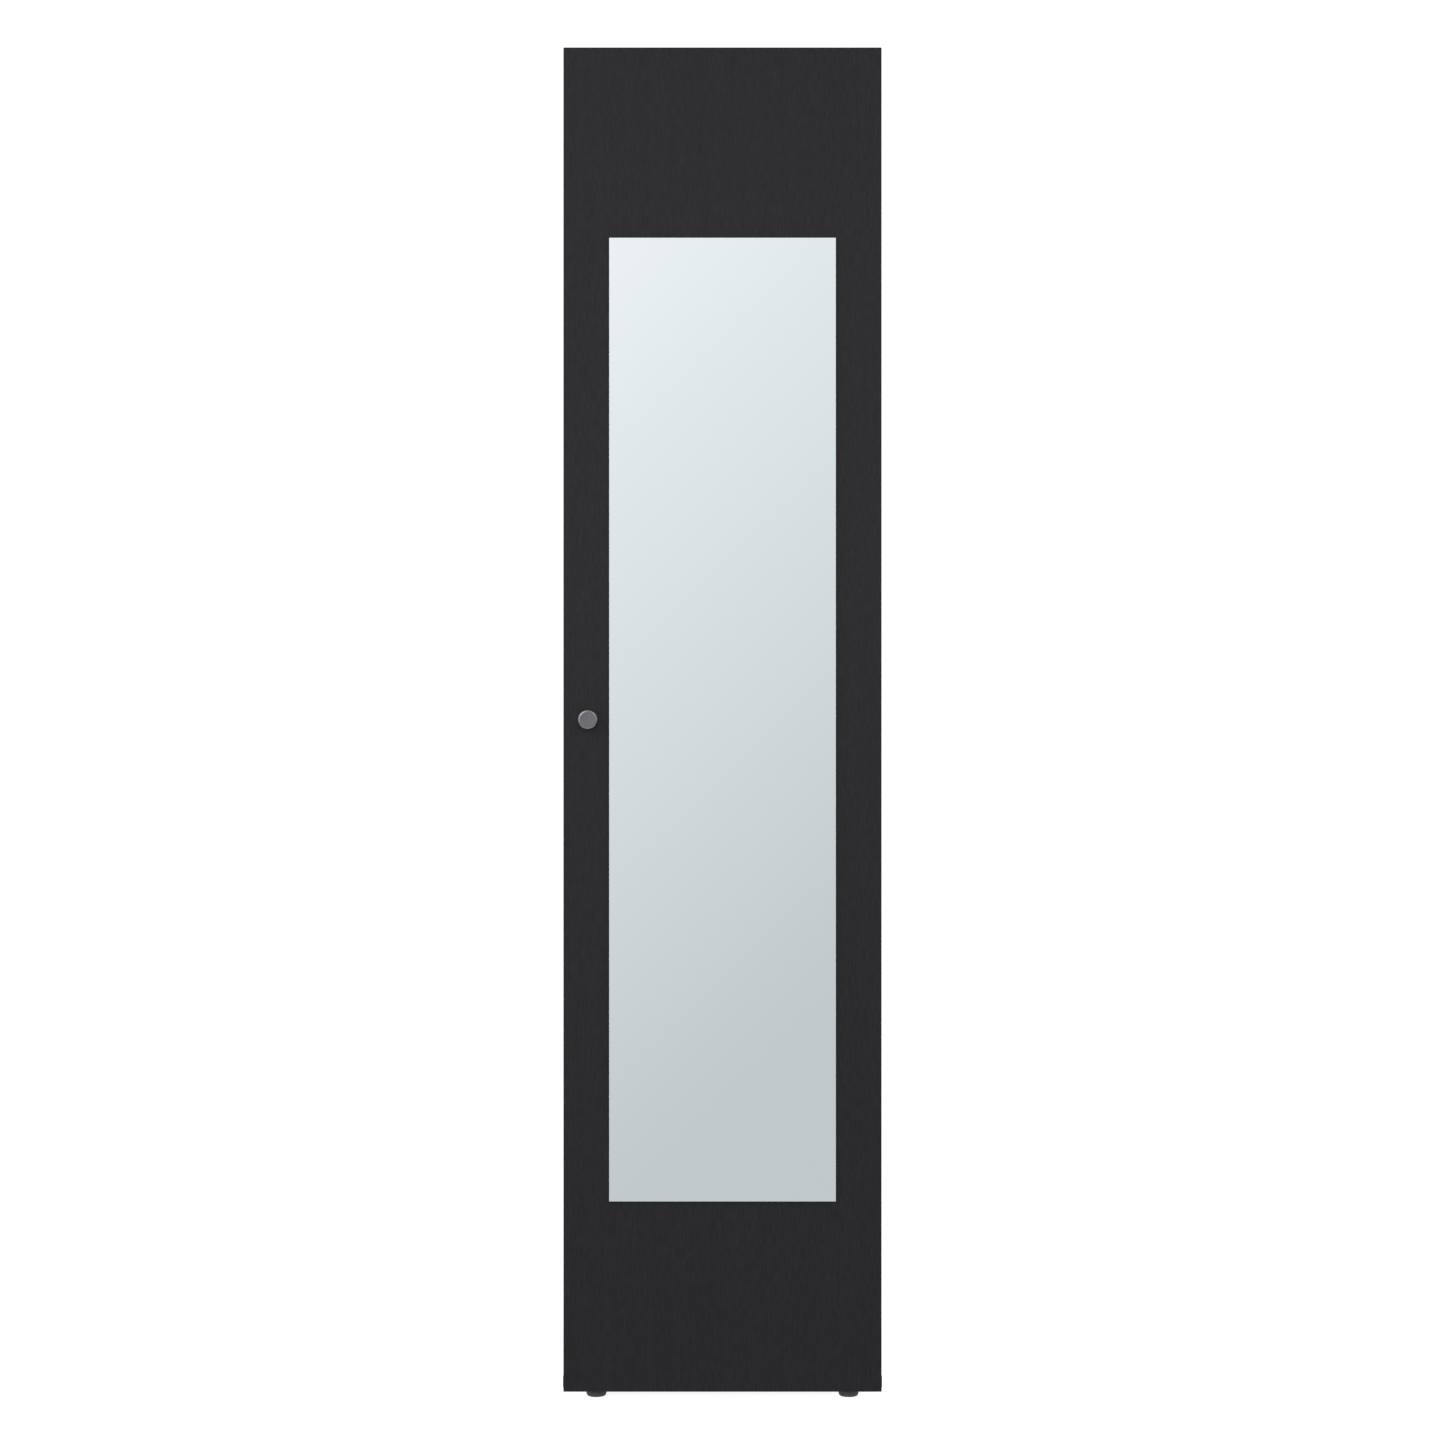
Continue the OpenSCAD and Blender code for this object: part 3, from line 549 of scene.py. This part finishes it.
def room():
    """White floor that sweeps up into a white dome, low enough for a foot that is screwed right out.

    Only the camera sees it: the room light comes from the world.
    """
    radius, sweep = 11, 3
    curve = arc(radius - sweep, sweep, sweep, -90, 0, 12)
    dome = arc(0, sweep, radius, 0, 90, 16)[1:-1]
    profile = [(0, 0), (2, 0), *curve, *dome, (0, sweep + radius)]
    bm = lathe(profile, 96)
    bmesh.ops.reverse_faces(bm, faces=bm.faces)
    mesh = bpy.data.meshes.new("studio_room")
    bm.to_mesh(mesh)
    bm.free()
    mesh.shade_smooth()
    piece = bpy.data.objects.new("studio_room", mesh)
    scene.collection.objects.link(piece)
    piece.location.z = -max(joint["range_m"][1] for joint in frame["joints"] if joint["type"] == "slide")
    for way in ("diffuse", "glossy", "transmission", "shadow", "volume_scatter"):
        setattr(piece, f"visible_{way}", False)

    s = Shader("studio_room")
    s.tree.nodes.remove(s.bsdf)
    axes = s.add("ShaderNodeSeparateXYZ", {"Vector": s.place}).outputs

    def shaded(axis, middle, near, far):
        """1 nearer to the middle than near, and 0 past far."""
        away = s.math("ABSOLUTE", s.math("SUBTRACT", axes[axis], middle), 0)
        limits = {"From Min": near, "From Max": far, "To Min": 1.0, "To Max": 0.0}
        fall = s.add("ShaderNodeMapRange", {"Value": away, **limits}, interpolation_type="SMOOTHSTEP")
        return fall.outputs["Result"]

    # painted shade: the floor's glow is dimmed in a soft patch under the wardrobe
    white, painted_shade = 0.98, 0.4
    patch = s.math("MULTIPLY", shaded("X", 0.0, 0.18, 0.27), shaded("Y", 0.07, 0.14, 0.27))
    strength = s.math("SUBTRACT", white, s.math("MULTIPLY", patch, painted_shade))
    glow = s.add("ShaderNodeEmission", {"Color": (1, 1, 1, 1), "Strength": strength})
    paint = s.add("ShaderNodeBsdfDiffuse", {"Color": (0.25, 0.25, 0.25, 1)})
    both = s.add("ShaderNodeAddShader", {0: paint.outputs[0], 1: glow.outputs[0]})
    clear = s.add("ShaderNodeBsdfTransparent")
    side = s.add("ShaderNodeNewGeometry").outputs["Backfacing"]
    mix = s.add("ShaderNodeMixShader", {0: side, 1: both.outputs[0], 2: clear.outputs[0]})
    s.tree.links.new(mix.outputs[0], s.tree.nodes["Material Output"].inputs["Surface"])
    mesh.materials.append(s.material)


room()


def area_light(name, spot, target, size, watts, glossy=True):
    """A round soft light that shines at a target. Without glossy, no surface reflects its disc."""
    data = bpy.data.lights.new(name, "AREA")
    data.shape, data.size, data.energy = "DISK", size, watts
    lamp = bpy.data.objects.new(name, data)
    scene.collection.objects.link(lamp)
    lamp.location = spot
    lamp.rotation_mode = "QUATERNION"
    lamp.rotation_quaternion = (Vector(spot) - Vector(target)).to_track_quat("Z", "Y")
    lamp.visible_glossy = glossy


# where each stands, what it shines at, its width in metres and its watts
centre = (cad_bounds[0] + cad_bounds[1]) / 2
area_light("key", (-2.6, -2.8, 3.4), centre, 2.2, 45)
area_light("spark", (2.5, -2.7, 3.6), centre, 0.7, 12)
area_light("fill", (0.1, -2.9, 1.5), (0, 0, 1.3), 1.2, 41, glossy=False)
area_light("left_side", (-3.0, 0.6, 1.9), centre, 1.6, 42, glossy=False)
area_light("right_side", (3.0, 0.6, 1.9), centre, 1.6, 26, glossy=False)
area_light("rear", (0.6, 3.2, 1.9), centre, 1.6, 12, glossy=False)

# ---------- camera ----------

DISTANCE = 3.8          # from the door's face
EYE = 1.067             # height above the feet's undersides
VIEW_WIDTH = 2.2515     # width of the view at the door's face
lens = bpy.data.cameras.new("camera")
lens.sensor_width = 36
lens.lens = lens.sensor_width * DISTANCE / VIEW_WIDTH
camera = bpy.data.objects.new("camera", lens)
scene.collection.objects.link(camera)
camera.location = (0, DOOR_LOW.y - DISTANCE, EYE)
camera.rotation_euler = (math.radians(90), 0, 0)
scene.camera = camera

bpy.context.view_layer.update()
